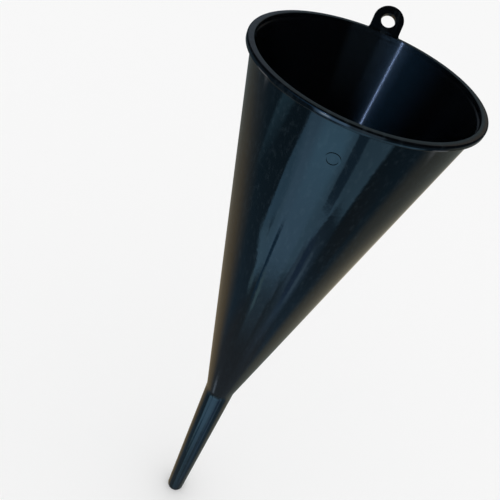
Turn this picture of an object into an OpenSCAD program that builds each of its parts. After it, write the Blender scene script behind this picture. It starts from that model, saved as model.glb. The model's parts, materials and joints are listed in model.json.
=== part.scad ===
// Long-reach pouring funnel, a single moulding in black plastic.
// Its sections are separate solids that meet face to face.
// +Z runs up the funnel's axis, from the centre of the outlet (z = 0) to the mouth.
// The hang loop is on the +Y side and the mould mark is opposite it, on the -Y side.

/* [Overall] */
// Overall length, from the outlet to the top of the rim
total_length = 455; // [340:1:600]
// Outer diameter of the rim flange
mouth_dia = 125; // [95:1:180]
// Length of the spout, from the outlet to the neck
spout_length = 175; // [100:1:260]
// Outer diameter at the neck, where the cone meets the spout
neck_dia = 23; // [19:0.5:34]
// Outer diameter at the outlet
outlet_dia = 15; // [11:0.5:18]

/* [Wall] */
// Wall thickness of the cone, neck and spout
wall = 1.6; // [1.2:0.1:2.6]
// Wall thickness at the outlet
outlet_wall = 1.5; // [1.1:0.1:2.4]
// Length of the straight bore at the outlet
outlet_land = 10; // [4:0.5:20]
// Radius on the outlet's outer edge, up to two thirds of its wall
outlet_round = 0.8; // [0.2:0.1:1.6]
// Radius of the bend in the wall at the neck
neck_bend = 50; // [15:1:120]

/* [Rim] */
// Height of the band that stands out round the mouth
rim_height = 2.8; // [2.2:0.1:6]
// How far the band stands out from the cone
rim_overhang = 2.8; // [2:0.1:6]
// Height of the wall below the band that belongs to the rim
rim_collar = 1.5; // [1:0.1:4]
// Radius on the band's outer top edge
rim_round = 1; // [0.3:0.1:1.5]
// Radius on the band's lower edge
rim_under_round = 0.4; // [0.2:0.1:0.6]
// Depth of the straight lip inside the mouth
lip_depth = 2.4; // [1:0.1:2.6]
// Width of the sloped step under that lip
lip_step = 0.6; // [0.2:0.1:0.8]
// Radius on the mouth's inner edge
lip_round = 0.5; // [0.2:0.1:1]

/* [Hang loop] */
// Diameter of the hanging hole
hole_dia = 8.4; // [6:0.2:14]
// Width of the band of plastic round the hole
loop_band = 4.6; // [3:0.1:8]
// Plastic between the rim and the hole, along the loop
loop_root = 2.8; // [1.5:0.1:8]
// Thickness of the loop
loop_thick = 3; // [2:0.1:4]
// Tilt of the loop, up from the plane of the rim
loop_tilt = 45; // [15:1:60]
// Radius of the fillets where the loop meets the rim
loop_fillet = 3; // [1:0.5:5]

/* [Mould mark] */
// Diameter of the raised blank ring
mark_dia = 7.5; // [4:0.5:14]
// Width of the ring's line
mark_line = 0.9; // [0.4:0.1:1.5]
// Height of the ring above the cone's wall
mark_raise = 0.3; // [0.2:0.1:1]
// Distance of the ring's centre below the top of the rim
mark_drop = 21.5; // [14:0.5:60]

/* [Hidden] */
$fn = 144;
plastic = "#14181f";

// Radii on the outer wall
mouth_r = mouth_dia / 2;
neck_r = neck_dia / 2;
outlet_r = outlet_dia / 2;

// The cone's outer wall runs straight on to the underside of the band, and its last stretch is the rim's collar
band_z = total_length - rim_height;
cone_top_z = band_z - rim_collar;

// Slopes of the outer wall from the axis
cone_slope = atan((mouth_r - rim_overhang - neck_r) / (band_z - spout_length));
spout_slope = atan((neck_r - outlet_r) / spout_length);

// Outer radius of the spout, and outer and inner radius of the cone, at a height
function spout_r(z) = outlet_r + z * tan(spout_slope);
function cone_r(z) = neck_r + (z - spout_length) * tan(cone_slope);
function cone_inner_r(z) = cone_r(z) - wall / cos(cone_slope);

// Unit directions along a wall of a given slope, and square to it, away from the axis
function along(slope) = [sin(slope), cos(slope)];
function outward(slope) = [cos(slope), -sin(slope)];

// The bend touches both straight walls this far from the corner between them
bend_reach = neck_bend * tan((cone_slope - spout_slope) / 2);
neck_corner = [neck_r, spout_length];
bend_low = neck_corner - bend_reach * along(spout_slope);
bend_high = neck_corner + bend_reach * along(cone_slope);
bend_centre = bend_low + neck_bend * outward(spout_slope);

// Straight bore at the outlet, and the rounding that its wall leaves room for
bore_r = outlet_r - outlet_wall;
outlet_edge_r = min(outlet_round, outlet_wall * 2 / 3);

// Lip inside the mouth
step_z = total_length - lip_depth - lip_step;
lip_r = cone_inner_r(step_z) + lip_step;

// Hang loop, measured in its own plane from the rim's outer edge
hole_r = hole_dia / 2;
loop_r = hole_r + loop_band;
loop_centre = hole_r + loop_root;
fillet_x = loop_r + loop_fillet;
// The fillets end just inside the rim's edge, which falls away to each side of the loop
fillet_tuck = 0.2;
rim_fall = mouth_r - sqrt(mouth_r ^ 2 - fillet_x ^ 2);
fillet_y = loop_fillet - fillet_tuck - rim_fall / cos(loop_tilt);

// How far cutting shapes run past what they cut
past = 1;

// Corner of a square edge, to take away from a section for a rounding of radius r.
// The corner is at the origin, and sx and sy point into the section.
module edge_round(r, sx, sy)
    mirror([sx < 0 ? 1 : 0, 0])
        mirror([0, sy < 0 ? 1 : 0])
            difference() {
                translate([-past, -past])
                    square(r + past);
                translate([r, r])
                    circle(r);
            }

// Long thin-walled body, square-ended at the neck and level at the rim
module cone()
    color(plastic)
        rotate_extrude()
            polygon([
                bend_high,
                [cone_r(cone_top_z), cone_top_z],
                [cone_inner_r(cone_top_z), cone_top_z],
                bend_high - wall * outward(cone_slope)
            ]);

// Ring where the wall bends from the cone into the spout, with both faces round one centre
module neck()
    color(plastic)
        rotate_extrude()
            intersection() {
                translate(bend_centre)
                    difference() {
                        circle(neck_bend + wall, $fn = 720);
                        circle(neck_bend, $fn = 720);
                    }
                polygon([
                    bend_centre,
                    bend_centre - 2 * neck_bend * outward(spout_slope),
                    bend_centre - 2 * neck_bend * outward(cone_slope)
                ]);
            }

// Slender tapered tube
module spout()
    color(plastic)
        rotate_extrude()
            polygon([
                [bore_r, outlet_land],
                [spout_r(outlet_land), outlet_land],
                bend_low,
                bend_low - wall * outward(spout_slope)
            ]);

// End of the spout, with a straight bore and a rounded outer edge
module outlet_tip()
    color(plastic)
        rotate_extrude()
            difference() {
                polygon([
                    [bore_r, 0],
                    [outlet_r, 0],
                    [outlet_r, outlet_edge_r],
                    [spout_r(outlet_land), outlet_land],
                    [bore_r, outlet_land]
                ]);
                translate([outlet_r, 0])
                    edge_round(outlet_edge_r, -1, 1);
            }

// Band round the mouth, on a short collar of the cone's wall
module rim_flange()
    color(plastic)
        rotate_extrude()
            difference() {
                polygon([
                    [cone_inner_r(cone_top_z), cone_top_z],
                    [cone_r(cone_top_z), cone_top_z],
                    [cone_r(band_z), band_z],
                    [mouth_r, band_z],
                    [mouth_r, total_length],
                    [lip_r, total_length],
                    [lip_r, step_z + lip_step],
                    [cone_inner_r(step_z), step_z]
                ]);
                translate([mouth_r, total_length])
                    edge_round(rim_round, -1, -1);
                translate([mouth_r, band_z])
                    edge_round(rim_under_round, -1, 1);
                translate([lip_r, total_length])
                    edge_round(lip_round, 1, -1);
            }

// Flat outline of the loop: x across it, y outward from the rim's edge
module loop_outline() {
    root_depth = 3 * loop_fillet;
    difference() {
        union() {
            translate([0, loop_centre])
                circle(loop_r);
            translate([-loop_r, -root_depth])
                square([2 * loop_r, root_depth + loop_centre]);
        }
        translate([0, loop_centre])
            circle(hole_r);
    }
    for (side = [0, 1])
        mirror([side, 0])
            difference() {
                translate([loop_r, -root_depth])
                    square([loop_fillet, root_depth + fillet_y]);
                translate([fillet_x, fillet_y])
                    circle(loop_fillet);
            }
}

// Eyelet on the back of the rim. Its root is cut to the band's outer face and underside.
module hang_loop()
    color(plastic)
        difference() {
            translate([0, mouth_r, total_length])
                rotate([loop_tilt, 0, 0])
                    translate([0, 0, -loop_thick])
                        linear_extrude(loop_thick)
                            loop_outline();
            translate([0, 0, band_z - loop_r])
                cylinder(r = mouth_r, h = rim_height + 3 * loop_r);
            translate([-mouth_r, 0, band_z - 2 * loop_r])
                cube([mouth_dia, mouth_dia, 2 * loop_r]);
        }

// Blank ring on the cone, standing square to the wall and seated on its curve
module mould_mark() {
    mark_z = total_length - mark_drop;
    depth = 2 * mark_raise;
    color(plastic)
        difference() {
            translate([0, -cone_r(mark_z), mark_z])
                rotate([90 + cone_slope, 0, 0])
                    translate([0, 0, -depth])
                        difference() {
                            cylinder(d = mark_dia, h = depth + mark_raise);
                            translate([0, 0, -past])
                                cylinder(d = mark_dia - 2 * mark_line, h = depth + mark_raise + 2 * past);
                        }
            translate([0, 0, spout_length])
                cylinder(r1 = neck_r, r2 = cone_r(cone_top_z), h = cone_top_z - spout_length, $fn = 1440);
        }
}

cone();
rim_flange();
neck();
spout();
outlet_tip();
hang_loop();
mould_mark();
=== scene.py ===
"""Long-reach pouring funnel in glossy black plastic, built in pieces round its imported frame."""

import json
import math

import bpy
from mathutils import Matrix, Vector


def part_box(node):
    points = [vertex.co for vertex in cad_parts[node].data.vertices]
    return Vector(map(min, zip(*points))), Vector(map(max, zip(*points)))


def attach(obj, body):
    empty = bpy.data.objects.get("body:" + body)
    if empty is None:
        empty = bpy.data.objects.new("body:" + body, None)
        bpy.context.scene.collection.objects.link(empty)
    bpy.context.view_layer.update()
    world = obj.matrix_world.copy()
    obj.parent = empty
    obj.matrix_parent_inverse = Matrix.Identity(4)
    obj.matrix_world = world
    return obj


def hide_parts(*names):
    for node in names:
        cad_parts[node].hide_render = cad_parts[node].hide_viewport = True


bl_info = {
    "name": "Long-reach funnel",
    "version": (1, 0, 0),
    "blender": (4, 5, 0),
    "location": "3D View > Sidebar > Funnel",
    "description": "Turns, shapes and finishes the pieces of a long-reach pouring funnel",
    "category": "Object",
}

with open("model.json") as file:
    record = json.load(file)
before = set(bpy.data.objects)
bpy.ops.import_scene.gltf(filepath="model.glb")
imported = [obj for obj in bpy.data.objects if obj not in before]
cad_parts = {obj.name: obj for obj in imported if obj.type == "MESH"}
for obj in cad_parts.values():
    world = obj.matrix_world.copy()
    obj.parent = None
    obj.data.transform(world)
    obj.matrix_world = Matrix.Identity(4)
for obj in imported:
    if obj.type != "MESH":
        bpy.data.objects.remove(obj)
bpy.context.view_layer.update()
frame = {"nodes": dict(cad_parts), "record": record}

MM = 0.001
UP = Vector((0, 0, 1))

# Outer corners of the sections, read from the frame as (radius, height)
RIM_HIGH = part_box("rim_flange")[1]
CONE_LOW, CONE_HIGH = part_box("cone")
NECK_LOW, NECK_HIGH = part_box("neck")
SPOUT_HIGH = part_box("spout")[1]
TIP_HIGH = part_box("outlet_tip")[1]
MOUTH = Vector((RIM_HIGH.x, RIM_HIGH.z))
CONE_TOP = Vector((CONE_HIGH.x, CONE_HIGH.z))
BEND_HIGH = Vector((NECK_HIGH.x, CONE_LOW.z))
BEND_LOW = Vector((SPOUT_HIGH.x, NECK_LOW.z))
TIP_TOP = Vector((TIP_HIGH.x, TIP_HIGH.z))

# The loop's underside is level with the band's
BAND_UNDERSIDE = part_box("hang_loop")[0].z
OUTLET_BORE = next(m for m in frame["record"]["mounts"] if m["name"] == "outlet_bore")
BORE_RADIUS = OUTLET_BORE["dims"]["r_mm"] * MM


class FunnelSizes(bpy.types.PropertyGroup):
    """Sizes of the moulding that its outer corners don't give."""

    wall: bpy.props.FloatProperty(
        name="Wall", description="Thickness of the cone, neck and spout",
        default=1.6 * MM, min=1 * MM, max=3 * MM, subtype="DISTANCE", unit="LENGTH",
    )
    lip_depth: bpy.props.FloatProperty(
        name="Lip depth", description="Depth of the straight lip inside the mouth",
        default=2.4 * MM, min=1 * MM, max=4 * MM, subtype="DISTANCE", unit="LENGTH",
    )
    lip_step: bpy.props.FloatProperty(
        name="Lip step", description="Width of the sloped step under the lip",
        default=0.6 * MM, min=0.2 * MM, max=1 * MM, subtype="DISTANCE", unit="LENGTH",
    )
    rim_round: bpy.props.FloatProperty(
        name="Rim rounding", description="Radius on the outer top edge of the rim",
        default=1 * MM, min=0.3 * MM, max=1.5 * MM, subtype="DISTANCE", unit="LENGTH",
    )
    edge_round: bpy.props.FloatProperty(
        name="Edge rounding", description="Radius on the small moulded edges",
        default=0.5 * MM, min=0.1 * MM, max=0.7 * MM, subtype="DISTANCE", unit="LENGTH",
    )
    tip_round: bpy.props.FloatProperty(
        name="Tip rounding", description="Radius on the outer edge of the outlet",
        default=0.8 * MM, min=0.2 * MM, max=1 * MM, subtype="DISTANCE", unit="LENGTH",
    )
    ring_steps: bpy.props.IntProperty(
        name="Ring steps", description="Straight sides in each turned ring",
        default=256, min=48, max=512,
    )
    row_height: bpy.props.FloatProperty(
        name="Row height", description="Height of a row of faces along the straight walls",
        default=12 * MM, min=4 * MM, max=50 * MM, subtype="DISTANCE", unit="LENGTH",
    )


class FunnelFinish(bpy.types.PropertyGroup):
    """Colour and polish of the plastic."""

    plastic: bpy.props.StringProperty(
        name="Plastic", description="Colour of the pigment, as an sRGB hex value",
        default="#020305",
    )
    polish: bpy.props.FloatProperty(
        name="Polish", description="Roughness of the polished outer face",
        default=0.06, min=0.02, max=0.5, subtype="FACTOR",
    )
    core_roughness: bpy.props.FloatProperty(
        name="Core roughness",
        description="Roughness of the inner face, left by the turned mould core",
        default=0.17, min=0.05, max=0.7, subtype="FACTOR",
    )
    scuff: bpy.props.StringProperty(
        name="Scuffs", description="Colour of the fine scuffs along the cone, as an sRGB hex value",
        default="#151b1f",
    )
    floor: bpy.props.StringProperty(
        name="Floor", description="Colour of the floor and backdrop, as an sRGB hex value",
        default="#f8f8f8",
    )


def linear(hex_colour):
    """sRGB hex to linear RGBA."""
    channels = [int(hex_colour[i:i + 2], 16) / 255 for i in (1, 3, 5)]
    light = [c / 12.92 if c <= 0.04045 else ((c + 0.055) / 1.055) ** 2.4 for c in channels]
    return (*light, 1.0)


def add(tree, kind, inputs=None, **settings):
    """Adds a node with its settings. Each input takes a value, or an output socket to link."""
    made = tree.nodes.new(kind)
    for name, value in settings.items():
        setattr(made, name, value)
    for name, value in (inputs or {}).items():
        if isinstance(value, bpy.types.NodeSocket):
            tree.links.new(value, made.inputs[name])
        else:
            made.inputs[name].default_value = value
    return made


# Colour sockets of a Mix node, which share their names with its other sockets
MIX_A, MIX_B, MIXED = 6, 7, 2


# ---------------------------------------------------------------- camera and studio

# The camera's bearing is from straight ahead along +Y towards +X, its pitch is downwards, and its
# near and far ends are in metres
CAMERA_PLACE = Vector((-9.9, -284.6, 561.5)) * MM
CAMERA_BEARING = math.radians(-3.3)
CAMERA_PITCH = math.radians(40.84)
CAMERA_ROLL = math.radians(21.75)
CAMERA_LENS = 42.0
CAMERA_SHIFT = 0.02
CAMERA_NEAR, CAMERA_FAR = 10 * MM, 60


def deselect():
    """Clears the selection, because an operator acts on all that is selected."""
    bpy.ops.object.select_all(action="DESELECT")


class FUNNEL_OT_camera(bpy.types.Operator):
    """Places the camera above the mouth, looking down the length of the funnel"""

    bl_idname = "funnel.camera"
    bl_label = "Camera"

    def execute(self, context):
        deselect()
        ahead = Vector((
            math.sin(CAMERA_BEARING) * math.cos(CAMERA_PITCH),
            math.cos(CAMERA_BEARING) * math.cos(CAMERA_PITCH),
            -math.sin(CAMERA_PITCH),
        ))
        level = ahead.cross(UP).normalized()
        upright = level.cross(ahead)
        turn = Matrix.Rotation(CAMERA_ROLL, 3, ahead)
        right, top = turn.transposed() @ level, turn.transposed() @ upright
        axes = Matrix((right, top, -ahead)).transposed()
        bpy.ops.object.camera_add(location=CAMERA_PLACE, rotation=axes.to_euler())
        camera = context.object
        camera.name = "camera"
        camera.data.lens = CAMERA_LENS
        camera.data.shift_x = CAMERA_SHIFT
        camera.data.clip_start = CAMERA_NEAR
        camera.data.clip_end = CAMERA_FAR
        context.scene.camera = camera
        return {"FINISHED"}


# What the gloss mirrors: soft boxes on a dome round the funnel, each laid over the ones before it.
# Bearing is in degrees from the -Y side towards +X, and height in degrees above the horizon. Then
# come half the width, half the height, how far the sides lean for each degree of height, the width
# of the soft edge, and the light as linear RGB.
SOFT_BOXES = (
    ("floor glow", 0, -79, 180, 15, 0.0, 5, (0.11, 0.135, 0.16)),
    ("left wall", -149, -44, 32, 27, 0.6, 20, (0.10, 0.125, 0.13)),
    ("left wall, lamplight", -135, -62, 40, 22, 0.6, 40, (0.32, 0.26, 0.17)),
    ("right wall", 136, -42, 43, 27, -0.2, 20, (0.19, 0.21, 0.19)),
    ("right wall, lamplight", 138, -44, 17, 10, -1.7, 28, (0.39, 0.36, 0.27)),
    ("right wall, bright end", 169, -32, 13, 14, -0.3, 13, (0.82, 0.75, 0.64)),
    ("side pane", -66, -40.5, 12, 2.7, -3.8, 7, (0.17, 0.38, 0.53)),
    ("window, slanted side", -7.8, -46.7, 35, 8.8, -1.7, 3, (0.30, 0.66, 1.01)),
    ("window, upper part", 14, -44, 36, 17, -1.6, 3, (0.40, 0.81, 1.18)),
    ("window, lower part", -12, -54, 21, 10, 0.6, 12, (0.50, 0.98, 1.47)),
    ("window, low corner", -46.8, -57.6, 7, 2.4, 2.8, 3, (0.40, 0.80, 1.15)),
    ("window, far pane", 39, -40, 18, 11.5, -0.4, 3, (0.31, 0.63, 0.90)),
    ("window, glow", -5, -48, 17, 3.5, 0.4, 14, (0.61, 1.37, 2.02)),
    ("window catch", 24, -46.5, 6.3, 6.3, 0.5, 2, (0.10, 0.23, 0.37)),
    ("curtain", 39, -60, 16, 1, 0.0, 20, (0.38, 0.70, 1.08)),
    ("curtain fold", 39, -59, 5.5, 3.2, 1.3, 3, (0.12, 0.24, 0.45)),
    ("sill", -1, -64, 39, 1.1, -1.4, 12, (0.11, 0.18, 0.22)),
    ("stand", -27, -60, 2.7, 3.6, -0.7, 2.5, (0.06, 0.20, 0.38)),
    ("sill, bright end", -51, -72.3, 5, 1.5, 7.0, 2, (0.56, 0.69, 0.83)),
    ("stand, foot", -20.5, -63.3, 3.5, 1.9, 0.8, 2, (0.38, 0.70, 0.84)),
    ("stand, tray", -45.5, -61.4, 3.5, 0.8, 3.0, 2, (0.33, 0.60, 0.73)),
    ("curtain, near edge", 29, -58.6, 3, 1.8, 1.3, 2, (0.28, 0.50, 0.74)),
    ("curtain, far edge", 48.5, -58.3, 2.8, 2.1, 1.3, 2.5, (0.33, 0.56, 0.80)),
    ("curtain, hem", 15.5, -62.6, 4, 0.8, 1.0, 1.5, (0.27, 0.47, 0.68)),
    ("doorway", 69, -50, 13, 4.5, 0.0, 8, (0.07, 0.105, 0.13)),
    ("front window", -13, -3, 16, 25, 0.0, 10, (0.9, 1.6, 2.5)),
    ("front window, shaded end", 19, -3, 15, 25, 0.0, 8, (0.35, 0.55, 0.75)),
    ("front window, sun patch", -20, -11, 4, 13, 0.0, 5, (3.5, 4.3, 5.2)),
    ("high window, glow", -42, 33, 14, 12, 0.0, 70, (0.25, 0.75, 1.45)),
    ("high window", -24, 33, 4, 12, 0.0, 30, (0.8, 1.7, 3.3)),
    ("back wall, cool side", -165, 25, 13, 14, 0.0, 10, (0.19, 0.23, 0.28)),
    ("back wall, far side", 170, 28, 16, 12, 0.0, 6, (0.145, 0.19, 0.21)),
    ("back wall, lamplight", 160, 28, 6.5, 12, 0.0, 6, (0.19, 0.17, 0.15)),
    ("tall box, +X side", 95, -31, 9, 4, 0.0, 4, (1.0, 1.07, 1.15)),
    ("tall box, -X side", -98, -31, 9, 4, 0.0, 4, (1.0, 1.07, 1.15)),
    ("tall box, back", 180, -28, 8, 22, 0.0, 6, (1.0, 1.05, 1.1)),
)
# The room between the boxes, as height in degrees and linear RGB
ROOM = (
    (-62, (0.08, 0.15, 0.22)),
    (-46, (0.05, 0.11, 0.16)),
    (-20, (0.05, 0.09, 0.13)),
    (10, (0.02, 0.025, 0.03)),
)
# Degrees halfway round, and from the horizon to straight up
HALF_TURN = 180
ZENITH = 90

# The small lamp: its bearing and height as for the boxes, its distance and size in metres, and its
# power in watts
SPARK_BEARING = math.radians(-21)
SPARK_HEIGHT = math.radians(26)
SPARK_DISTANCE = 3.0
SPARK_SIZE = 0.05
SPARK_POWER = 14
SPARK_COLOUR = "#aecbff"

# Side of the floor in metres, wide enough to reach past every view
FLOOR_SIZE = 30


class FUNNEL_OT_studio(bpy.types.Operator):
    """Makes the pale floor and backdrop, and the soft light round the funnel"""

    bl_idname = "funnel.studio"
    bl_label = "Studio"

    def execute(self, context):
        finish = context.scene.funnel_finish
        context.scene.view_settings.view_transform = "Standard"
        self.floor(finish)
        self.dome(context.scene, finish)
        self.spark(context)
        return {"FINISHED"}

    def floor(self, finish):
        """Matte paper without any shine. The gloss doesn't mirror it, and it casts no shadow."""
        deselect()
        bpy.ops.mesh.primitive_plane_add(size=FLOOR_SIZE, location=(0, 0, 0))
        floor = bpy.context.object
        floor.name = "floor"
        paper = bpy.data.materials.new("matte_paper_floor")
        paper.use_nodes = True
        shader = paper.node_tree.nodes["Principled BSDF"]
        shader.inputs["Base Color"].default_value = linear(finish.floor)
        shader.inputs["Roughness"].default_value = 1
        shader.inputs["Specular IOR Level"].default_value = 0
        floor.data.materials.append(paper)
        floor.visible_glossy = False
        floor.visible_shadow = False

    def dome(self, scene, finish):
        """Even white light for matt faces, and a dim room with soft boxes for the gloss."""
        world = bpy.data.worlds.new("studio_dome")
        scene.world = world
        world.cycles.sampling_method = "NONE"
        world.use_nodes = True
        tree = world.node_tree
        tree.nodes.clear()
        place = add(tree, "ShaderNodeTexCoord").outputs["Generated"]
        axes = add(tree, "ShaderNodeSeparateXYZ", {"Vector": place}).outputs
        front = add(tree, "ShaderNodeMath", {
            0: axes["Y"], 1: -1.0,
        }, operation="MULTIPLY").outputs[0]
        around = add(tree, "ShaderNodeMath", {
            0: axes["X"], 1: front,
        }, operation="ARCTAN2").outputs[0]
        bearing = add(tree, "ShaderNodeMath", {0: around}, operation="DEGREES").outputs[0]
        above = add(tree, "ShaderNodeMath", {0: axes["Z"]}, operation="ARCSINE").outputs[0]
        height = add(tree, "ShaderNodeMath", {0: above}, operation="DEGREES").outputs[0]
        level = add(tree, "ShaderNodeMapRange", {
            "Value": height, "From Min": -ZENITH, "From Max": ZENITH,
        })
        ramp = add(tree, "ShaderNodeValToRGB", {"Fac": level.outputs["Result"]})
        stops = ramp.color_ramp.elements
        stops.remove(stops[1])
        for index, (up, colour) in enumerate(ROOM):
            position = (up + ZENITH) / (2 * ZENITH)
            stop = stops.new(position) if index else stops[0]
            stop.position = position
            stop.color = (*colour, 1)
        room = ramp.outputs["Color"]
        for name, at, up, wide, tall, lean, edge, light in SOFT_BOXES:
            lit = self.soft_box(tree, bearing, height, at, up, wide, tall, lean, edge)
            room = add(tree, "ShaderNodeMix", {
                "Factor": lit, MIX_A: room, MIX_B: (*light, 1),
            }, data_type="RGBA", label=name).outputs[MIXED]
        ray = add(tree, "ShaderNodeLightPath").outputs
        backdrop = add(tree, "ShaderNodeMix", {
            "Factor": ray["Is Camera Ray"], MIX_A: (1, 1, 1, 1), MIX_B: linear(finish.floor),
        }, data_type="RGBA").outputs[MIXED]
        seen = add(tree, "ShaderNodeMix", {
            "Factor": ray["Is Glossy Ray"], MIX_A: backdrop, MIX_B: room,
        }, data_type="RGBA").outputs[MIXED]
        shine = add(tree, "ShaderNodeBackground", {"Color": seen, "Strength": 1.0}).outputs[0]
        add(tree, "ShaderNodeOutputWorld", {"Surface": shine})

    def soft_box(self, tree, bearing, height, at, up, wide, tall, lean, edge):
        """1 inside the box and 0 outside it, with a soft edge."""
        off = add(tree, "ShaderNodeMath", {0: height, 1: -up}, operation="ADD").outputs[0]
        leant = add(tree, "ShaderNodeMath", {
            0: off, 1: lean, 2: bearing,
        }, operation="MULTIPLY_ADD").outputs[0]
        side = add(tree, "ShaderNodeMath", {0: leant, 1: -at}, operation="ADD").outputs[0]
        turn = add(tree, "ShaderNodeMath", {
            0: side, 1: HALF_TURN, 2: -HALF_TURN,
        }, operation="WRAP").outputs[0]
        masks = []
        for value, half in ((turn, wide), (off, tall)):
            away = add(tree, "ShaderNodeMath", {0: value}, operation="ABSOLUTE").outputs[0]
            masks.append(add(tree, "ShaderNodeMapRange", {
                "Value": away, "From Min": half + edge / 2, "From Max": half - edge / 2,
                "To Min": 0.0, "To Max": 1.0,
            }, interpolation_type="SMOOTHSTEP").outputs["Result"])
        return add(tree, "ShaderNodeMath", {
            0: masks[0], 1: masks[1],
        }, operation="MULTIPLY").outputs[0]

    def spark(self, context):
        """Small bright lamp to the left of the front, which draws the line inside the mouth.

        It has no bounces, so it doesn't draw the line again from one wall to the other.
        """
        deselect()
        aim = Vector((0, 0, MOUTH.y))
        out = Vector((
            math.sin(SPARK_BEARING) * math.cos(SPARK_HEIGHT),
            -math.cos(SPARK_BEARING) * math.cos(SPARK_HEIGHT),
            math.sin(SPARK_HEIGHT),
        ))
        bpy.ops.object.light_add(type="AREA", location=aim + out * SPARK_DISTANCE)
        lamp = context.object
        lamp.name = "window_spark"
        lamp.rotation_euler = out.to_track_quat("Z", "Y").to_euler()
        lamp.data.shape = "DISK"
        lamp.data.size = SPARK_SIZE
        lamp.data.energy = SPARK_POWER
        lamp.data.color = linear(SPARK_COLOUR)[:3]
        lamp.visible_diffuse = False
        lamp.visible_camera = False
        lamp.data.cycles.max_bounces = 0


# ---------------------------------------------------------------- plastic

# One plastic with three finishes. The polished cavity of the mould gives the cone, rim and loop
# sharp, dark, slightly wavy reflections. The spout's part of the cavity was polished along its
# length, so its stripe of light breaks into streaks. The core was turned, so a lamp draws one long
# line down the inner wall.
OUTER = "moulded_polypropylene_polished"
DRAWN = "moulded_polypropylene_draw_marked"
CORE = "moulded_polypropylene_core_turned"

POLYPROPYLENE_IOR = 1.5

# Slow waves that the wall took as it cooled: their width, how much longer they are, and their depth
SWAY_SIZE, SWAY_STRETCH, SWAY_DEPTH = 16 * MM, 5, 0.12 * MM
# Flow lines, which run down the wall from the mouth
FLOW_WIDTH, FLOW_LENGTH = 2.2 * MM, 120 * MM
# Orange peel, which makes edges of reflections a little uneven. The real one is about 1 mm across,
# and is drawn coarser so that it shows.
PEEL_SIZE, PEEL_STRETCH, PEEL_DEPTH = 2.4 * MM, 1.6, 0.02 * MM
# Fine scuffs, which dull the black a little. Single ones are too thin to show, so they are drawn as
# patches, in those parts of the noise that lie above the lower of two levels.
SCUFF_WIDTH, SCUFF_LENGTH = 1.5 * MM, 4.5 * MM
SCUFF_STARTS, SCUFF_FULL = 0.53, 0.78
# Turning marks of the core. They are too fine to show, and only spread a highlight up and down.
GROOVE_PITCH, GROOVE_STEEPNESS = 0.06 * MM, 0.45


def plastic_base(name, finish, roughness):
    """Injection-moulded polypropylene: blue-black pigment under a clear, slightly waxy gloss."""
    material = bpy.data.materials.new(name)
    material.use_nodes = True
    shader = material.node_tree.nodes["Principled BSDF"]
    shader.inputs["Base Color"].default_value = linear(finish.plastic)
    shader.inputs["Roughness"].default_value = roughness
    shader.inputs["IOR"].default_value = POLYPROPYLENE_IOR
    return material, shader


def around_axis(tree, radius, stretch):
    """Coordinates that run round the funnel at one radius and are drawn out along its length."""
    place = add(tree, "ShaderNodeTexCoord").outputs["Object"]
    axes = add(tree, "ShaderNodeSeparateXYZ", {"Vector": place}).outputs
    flat = add(tree, "ShaderNodeCombineXYZ", {"X": axes["X"], "Y": axes["Y"]}).outputs[0]
    ring = add(tree, "ShaderNodeVectorMath", {0: flat}, operation="NORMALIZE").outputs[0]
    girth = add(tree, "ShaderNodeVectorMath", {
        0: ring, "Scale": radius,
    }, operation="SCALE").outputs[0]
    drawn = add(tree, "ShaderNodeMath", {
        0: axes["Z"], 1: 1 / stretch,
    }, operation="MULTIPLY").outputs[0]
    rise = add(tree, "ShaderNodeCombineXYZ", {"Z": drawn}).outputs[0]
    return add(tree, "ShaderNodeVectorMath", {0: girth, 1: rise}, operation="ADD").outputs[0]


def outer_plastic(finish, name, radius, flow_depth, shine):
    """Cavity side: sharp reflections, broken up by waves, flow lines and orange peel."""
    material, shader = plastic_base(name, finish, finish.polish)
    shader.inputs["Specular IOR Level"].default_value = shine
    tree = material.node_tree
    reliefs = (
        (SWAY_SIZE, SWAY_STRETCH, SWAY_DEPTH, {"Detail": 1.0}),
        (FLOW_WIDTH, FLOW_LENGTH / FLOW_WIDTH, flow_depth, {"Detail": 2.0, "Roughness": 0.45}),
        (PEEL_SIZE, PEEL_STRETCH, PEEL_DEPTH, {"Detail": 2.0}),
    )
    normal = {}
    for size, stretch, depth, grain in reliefs:
        relief = add(tree, "ShaderNodeTexNoise", {
            "Vector": around_axis(tree, radius, stretch), "Scale": 1 / size, **grain,
        }).outputs["Fac"]
        bump = add(tree, "ShaderNodeBump", {
            "Height": relief, "Distance": depth, "Strength": 1.0, **normal,
        }).outputs[0]
        normal = {"Normal": bump}
    tree.links.new(normal["Normal"], shader.inputs["Normal"])
    scuff = add(tree, "ShaderNodeTexNoise", {
        "Vector": around_axis(tree, radius, SCUFF_LENGTH / SCUFF_WIDTH),
        "Scale": 1 / SCUFF_WIDTH, "Detail": 3.0, "Roughness": 0.6,
    }).outputs["Fac"]
    worn = add(tree, "ShaderNodeMapRange", {
        "Value": scuff, "From Min": SCUFF_STARTS, "From Max": SCUFF_FULL,
    }).outputs["Result"]
    tint = add(tree, "ShaderNodeMix", {
        "Factor": worn, MIX_A: linear(finish.plastic), MIX_B: linear(finish.scuff),
    }, data_type="RGBA").outputs[MIXED]
    tree.links.new(tint, shader.inputs["Base Color"])
    return material


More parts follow.
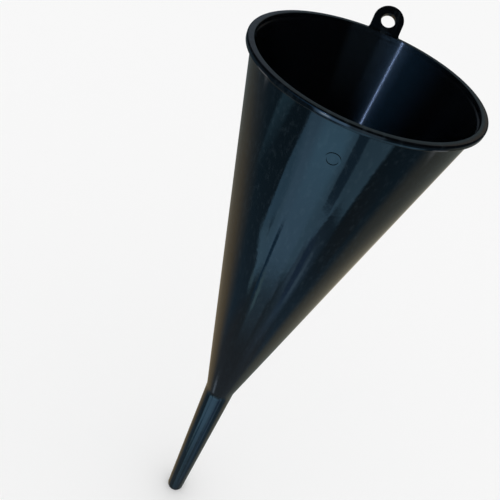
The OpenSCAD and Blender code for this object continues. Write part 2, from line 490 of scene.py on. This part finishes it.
def core_plastic(finish):
    """Core side: fine turning marks run round it, so a lamp draws one long line down the wall."""
    material, shader = plastic_base(CORE, finish, finish.core_roughness)
    tree = material.node_tree
    shader.inputs["Anisotropic"].default_value = 1.0
    shader.inputs["Anisotropic Rotation"].default_value = 0.25
    round_axis = add(tree, "ShaderNodeTangent", direction_type="RADIAL", axis="Z").outputs[0]
    tree.links.new(round_axis, shader.inputs["Tangent"])
    place = add(tree, "ShaderNodeTexCoord").outputs["Object"]
    level = add(tree, "ShaderNodeSeparateXYZ", {"Vector": place}).outputs["Z"]
    phase = add(tree, "ShaderNodeMath", {
        0: level, 1: math.tau / GROOVE_PITCH,
    }, operation="MULTIPLY").outputs[0]
    wave = add(tree, "ShaderNodeMath", {0: phase}, operation="SINE").outputs[0]
    tilt = add(tree, "ShaderNodeMath", {
        0: wave, 1: GROOVE_STEEPNESS,
    }, operation="MULTIPLY").outputs[0]
    nudge = add(tree, "ShaderNodeCombineXYZ", {"Z": tilt}).outputs[0]
    square = add(tree, "ShaderNodeNewGeometry").outputs["Normal"]
    leant = add(tree, "ShaderNodeVectorMath", {0: square, 1: nudge}, operation="ADD").outputs[0]
    grooved = add(tree, "ShaderNodeVectorMath", {0: leant}, operation="NORMALIZE").outputs[0]
    tree.links.new(grooved, shader.inputs["Normal"])
    return material


# ---------------------------------------------------------------- pieces

# Sides of a rounded edge, from the smallest to the widest, and of the bend at the neck
BORE_ARC, SMALL_ARC, WIDE_ARC, BEND_ARC = 3, 5, 8, 12
OUTER_SLOT, CORE_SLOT = 0, 1
# A face is on the core side where its normal leans this far towards the axis, from 0 to 1
CORE_LEAN = 0.5
# Faces that meet at less than this are shaded as one smooth surface
SMOOTH_ANGLE = math.radians(28)
# For the eyelet: how near two points are welded, the largest angle that counts as flat, and the
# smallest that is an edge to round
WELD = 0.002 * MM
FLAT_ANGLE = math.radians(1)
EDGE_ANGLE = math.radians(40)
EDGE_SEGMENTS = 3


def outward(slope):
    """Unit direction square to a wall of that slope, away from the axis, as (radius, height)."""
    return Vector((math.cos(slope), -math.sin(slope)))


def slope_of(low, high):
    """Slope from the axis of a straight wall between two section points."""
    return math.atan2(high.x - low.x, high.y - low.y)


CONE_SLOPE = slope_of(BEND_HIGH, CONE_TOP)
SPOUT_SLOPE = slope_of(TIP_TOP, BEND_LOW)


def rows(start, end, height):
    """Section points from start to end, both included, in even rows."""
    count = max(1, round((end - start).length / height))
    return [start.lerp(end, i / count) for i in range(count + 1)]


def arc(centre, radius, start, end, steps):
    """Section points along an arc, with its angles in degrees from the radius axis."""
    angles = [math.radians(start + (end - start) * i / steps) for i in range(steps + 1)]
    return [centre + radius * Vector((math.cos(a), math.sin(a))) for a in angles]


def turned(name, section, steps):
    """Turns a closed section round the axis, ring by ring, into a closed piece."""
    deselect()
    first = section[0]
    bpy.ops.mesh.primitive_circle_add(vertices=steps, radius=first.x, location=(0, 0, first.y))
    bpy.ops.object.transform_apply(location=True, rotation=True, scale=True)
    piece = bpy.context.object
    piece.name = piece.data.name = name
    bpy.ops.object.mode_set(mode="EDIT")
    bpy.ops.mesh.select_all(action="SELECT")
    for before, after in zip(section, section[1:]):
        rise = (0, 0, after.y - before.y)
        bpy.ops.mesh.extrude_region_move(TRANSFORM_OT_translate={"value": rise})
        grow = after.x / before.x
        bpy.ops.transform.resize(value=(grow, grow, 1), center_override=(0, 0, after.y))
    bpy.ops.mesh.select_all(action="DESELECT")
    bpy.ops.mesh.select_non_manifold()
    bpy.ops.mesh.bridge_edge_loops()
    bpy.ops.mesh.select_all(action="SELECT")
    bpy.ops.mesh.normals_make_consistent(inside=False)
    bpy.ops.object.mode_set(mode="OBJECT")
    return piece


def paint(piece, outer, core):
    """Polished plastic all over, and the core finish on the faces that look towards the axis."""
    piece.data.materials.append(outer)
    piece.data.materials.append(core)
    for face in piece.data.polygons:
        inward = face.normal.x * face.center.x + face.normal.y * face.center.y
        on_core = inward < -CORE_LEAN * Vector(face.center[:2]).length
        face.material_index = CORE_SLOT if on_core else OUTER_SLOT


def hand_over(piece, node):
    """Gives the finished piece the CAD node's place on the body."""
    deselect()
    piece.select_set(True)
    bpy.context.view_layer.objects.active = piece
    bpy.ops.object.shade_smooth_by_angle(angle=SMOOTH_ANGLE)
    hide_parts(node)
    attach(piece, "root")


def finished(name):
    """A finish made once and shared by the pieces."""
    return bpy.data.materials[name]


class FUNNEL_OT_finishes(bpy.types.Operator):
    """Mixes the finishes of the plastic"""

    bl_idname = "funnel.finishes"
    bl_label = "Finishes"

    def execute(self, context):
        finish = context.scene.funnel_finish
        outer_plastic(finish, OUTER, radius=40 * MM, flow_depth=0.02 * MM, shine=0.5)
        outer_plastic(finish, DRAWN, radius=10 * MM, flow_depth=0.14 * MM, shine=0.37)
        core_plastic(finish)
        return {"FINISHED"}


class FUNNEL_OT_cone(bpy.types.Operator):
    """Turns the long thin-walled cone"""

    bl_idname = "funnel.cone"
    bl_label = "Cone"

    def execute(self, context):
        sizes = context.scene.funnel_sizes
        level_wall = Vector((sizes.wall / math.cos(CONE_SLOPE), 0))
        outside = rows(BEND_HIGH, CONE_TOP, sizes.row_height)
        inner_end = BEND_HIGH - sizes.wall * outward(CONE_SLOPE)
        inside = rows(CONE_TOP - level_wall, inner_end, sizes.row_height)
        cone = turned("cone_wall", outside + inside, sizes.ring_steps)
        paint(cone, finished(OUTER), finished(CORE))
        hand_over(cone, "cone")
        return {"FINISHED"}


class FUNNEL_OT_neck(bpy.types.Operator):
    """Turns the bend between the cone and the spout"""

    bl_idname = "funnel.neck"
    bl_label = "Neck"

    def execute(self, context):
        sizes = context.scene.funnel_sizes
        bend = (BEND_HIGH - BEND_LOW).length / (2 * math.sin((CONE_SLOPE - SPOUT_SLOPE) / 2))
        centre = BEND_LOW + bend * outward(SPOUT_SLOPE)
        low, high = HALF_TURN - math.degrees(SPOUT_SLOPE), HALF_TURN - math.degrees(CONE_SLOPE)
        outside = arc(centre, bend, low, high, BEND_ARC)
        inside = arc(centre, bend + sizes.wall, high, low, BEND_ARC)
        neck = turned("neck_bend", outside + inside, sizes.ring_steps)
        paint(neck, finished(OUTER), finished(CORE))
        hand_over(neck, "neck")
        return {"FINISHED"}


class FUNNEL_OT_spout(bpy.types.Operator):
    """Turns the slender spout"""

    bl_idname = "funnel.spout"
    bl_label = "Spout"

    def execute(self, context):
        sizes = context.scene.funnel_sizes
        outside = rows(TIP_TOP, BEND_LOW, sizes.row_height)
        inner_start = BEND_LOW - sizes.wall * outward(SPOUT_SLOPE)
        inside = rows(inner_start, Vector((BORE_RADIUS, TIP_TOP.y)), sizes.row_height)
        spout = turned("spout_tube", outside + inside, sizes.ring_steps)
        paint(spout, finished(DRAWN), finished(CORE))
        hand_over(spout, "spout")
        return {"FINISHED"}


class FUNNEL_OT_outlet(bpy.types.Operator):
    """Turns the end of the spout, with its straight bore and rounded edge"""

    bl_idname = "funnel.outlet"
    bl_label = "Outlet tip"

    def execute(self, context):
        sizes = context.scene.funnel_sizes
        outlet_radius = TIP_TOP.x - (TIP_TOP.y - sizes.tip_round) * math.tan(SPOUT_SLOPE)
        round_centre = Vector((outlet_radius - sizes.tip_round, sizes.tip_round))
        bore_round = sizes.edge_round / 2
        bore_centre = Vector((BORE_RADIUS + bore_round, bore_round))
        section = [Vector((BORE_RADIUS, TIP_TOP.y))]
        section += arc(bore_centre, bore_round, 180, 270, BORE_ARC)
        section += arc(round_centre, sizes.tip_round, 270, 360, WIDE_ARC)
        section += rows(section[-1], TIP_TOP, TIP_TOP.y / 2)[1:]
        tip = turned("outlet_end", section, sizes.ring_steps)
        paint(tip, finished(DRAWN), finished(CORE))
        hand_over(tip, "outlet_tip")
        return {"FINISHED"}


class FUNNEL_OT_rim(bpy.types.Operator):
    """Turns the thick band round the mouth"""

    bl_idname = "funnel.rim"
    bl_label = "Rim flange"

    def execute(self, context):
        sizes = context.scene.funnel_sizes
        level_wall = sizes.wall / math.cos(CONE_SLOPE)
        step = MOUTH.y - sizes.lip_depth - sizes.lip_step
        step_radius = CONE_TOP.x + (step - CONE_TOP.y) * math.tan(CONE_SLOPE) - level_wall
        lip_radius = step_radius + sizes.lip_step
        collar_radius = CONE_TOP.x + (BAND_UNDERSIDE - CONE_TOP.y) * math.tan(CONE_SLOPE)
        small, wide = sizes.edge_round, sizes.rim_round
        section = [Vector((CONE_TOP.x - level_wall, CONE_TOP.y)), CONE_TOP]
        section += [Vector((collar_radius, BAND_UNDERSIDE))]
        under = Vector((MOUTH.x - small, BAND_UNDERSIDE + small))
        section += arc(under, small, 270, 360, SMALL_ARC)
        section += arc(MOUTH - Vector((wide, wide)), wide, 0, 90, WIDE_ARC)
        section += arc(Vector((lip_radius + small, MOUTH.y - small)), small, 90, 180, SMALL_ARC)
        section += [Vector((lip_radius, step + sizes.lip_step)), Vector((step_radius, step))]
        rim = turned("rim_band", section, sizes.ring_steps)
        paint(rim, finished(OUTER), finished(CORE))
        hand_over(rim, "rim_flange")
        return {"FINISHED"}


class FUNNEL_OT_hang_loop(bpy.types.Operator):
    """Rounds the edges of the eyelet at the back of the rim"""

    bl_idname = "funnel.hang_loop"
    bl_label = "Hang loop"

    def execute(self, context):
        sizes = context.scene.funnel_sizes
        deselect()
        cad = frame["nodes"]["hang_loop"]
        loop = bpy.data.objects.new("eyelet", cad.data.copy())
        context.scene.collection.objects.link(loop)
        loop.data.materials.clear()
        loop.select_set(True)
        context.view_layer.objects.active = loop
        bpy.ops.object.mode_set(mode="EDIT")
        bpy.ops.mesh.select_all(action="SELECT")
        bpy.ops.mesh.remove_doubles(threshold=WELD)
        bpy.ops.mesh.dissolve_limited(angle_limit=FLAT_ANGLE)
        bpy.ops.object.mode_set(mode="OBJECT")
        bpy.ops.object.modifier_add(type="BEVEL")
        bevel = loop.modifiers[-1]
        bevel.limit_method = "ANGLE"
        bevel.angle_limit = EDGE_ANGLE
        bevel.width = sizes.edge_round
        bevel.segments = EDGE_SEGMENTS
        bpy.ops.object.modifier_apply(modifier=bevel.name)
        loop.data.materials.append(finished(OUTER))
        hand_over(loop, "hang_loop")
        return {"FINISHED"}


class FUNNEL_OT_mould_mark(bpy.types.Operator):
    """Gives the blank ring on the cone the same plastic"""

    bl_idname = "funnel.mould_mark"
    bl_label = "Mould mark"

    def execute(self, context):
        mark = frame["nodes"]["mould_mark"]
        mark.data.materials.clear()
        mark.data.materials.append(finished(OUTER))
        return {"FINISHED"}


PIECES = (
    FUNNEL_OT_camera,
    FUNNEL_OT_finishes,
    FUNNEL_OT_cone,
    FUNNEL_OT_neck,
    FUNNEL_OT_spout,
    FUNNEL_OT_outlet,
    FUNNEL_OT_rim,
    FUNNEL_OT_hang_loop,
    FUNNEL_OT_mould_mark,
    FUNNEL_OT_studio,
)


class FUNNEL_PT_panel(bpy.types.Panel):
    """Sidebar panel with the sizes, the finish and one button for each piece"""

    bl_idname = "FUNNEL_PT_panel"
    bl_label = "Funnel"
    bl_space_type = "VIEW_3D"
    bl_region_type = "UI"
    bl_category = "Funnel"

    def draw(self, context):
        for group in (context.scene.funnel_sizes, context.scene.funnel_finish):
            for name in group.bl_rna.properties.keys():
                if name not in ("rna_type", "name"):
                    self.layout.prop(group, name)
        for operator in PIECES:
            self.layout.operator(operator.bl_idname)


CLASSES = (FunnelSizes, FunnelFinish, *PIECES, FUNNEL_PT_panel)


def register():
    for made in CLASSES:
        bpy.utils.register_class(made)
    bpy.types.Scene.funnel_sizes = bpy.props.PointerProperty(type=FunnelSizes)
    bpy.types.Scene.funnel_finish = bpy.props.PointerProperty(type=FunnelFinish)


def unregister():
    del bpy.types.Scene.funnel_finish
    del bpy.types.Scene.funnel_sizes
    for made in reversed(CLASSES):
        bpy.utils.unregister_class(made)


def main():
    """Makes the stage and the pieces in order."""
    register()
    for operator in PIECES:
        group, name = operator.bl_idname.split(".")
        getattr(getattr(bpy.ops, group), name)()


if __name__ == "__main__":
    main()
